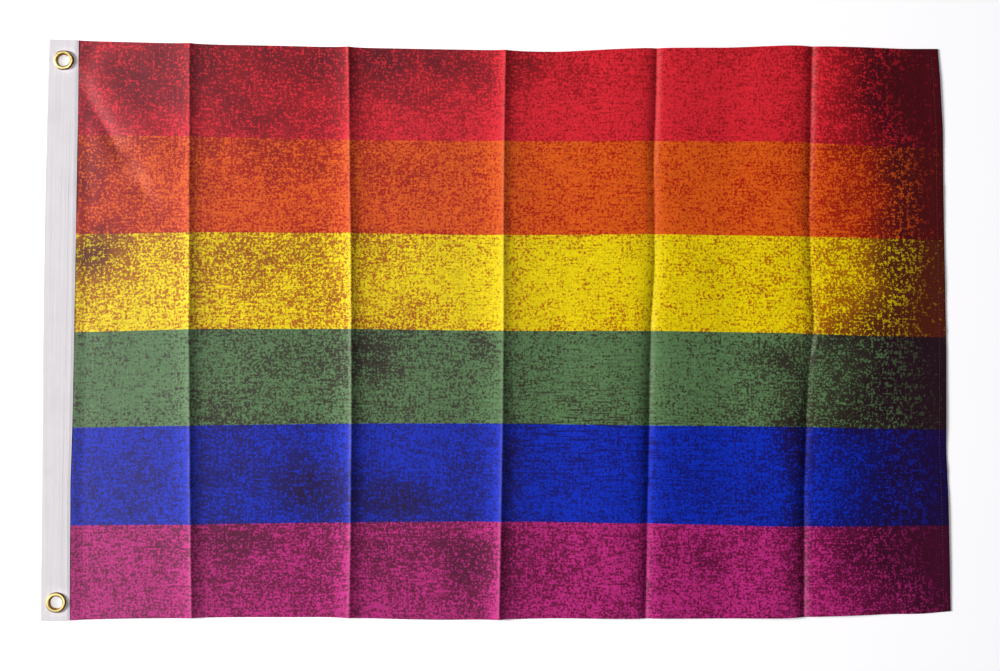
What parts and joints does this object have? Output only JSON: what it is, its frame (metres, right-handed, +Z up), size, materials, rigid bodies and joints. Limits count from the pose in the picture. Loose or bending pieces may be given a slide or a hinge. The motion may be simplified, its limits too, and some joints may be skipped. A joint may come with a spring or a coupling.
{
  "type": "striped flag with eyelets",
  "caption": "Rectangular striped cloth flag with a worn-look print, hemmed edges, a taped hoist and brass eyelets, laid out flat with its storage folds.",
  "frame": {"origin": "centre of the flag's footprint, on the surface that it lies on", "axes": "+X along the fly, away from the hoist; +Y up the hoist, towards the red stripe; +Z up, out of the printed face"},
  "size_m": [0.9361, 0.5986, 0.0059],
  "materials": {
    "printed_cloth": "thin printed polyester in six even stripes, soft satin sheen, dark worn-look overprint, whitened storage folds",
    "heading_tape": "white woven polyester tape, matte, fine ribs along its length",
    "eyelet_brass": "rolled and polished, lightly rubbed"
  },
  "bodies": {
    "root": {"flag_cloth": "printed_cloth", "heading": "heading_tape", "eyelet_top": "eyelet_brass", "eyelet_bottom": "eyelet_brass"}
  },
  "joints": []
}
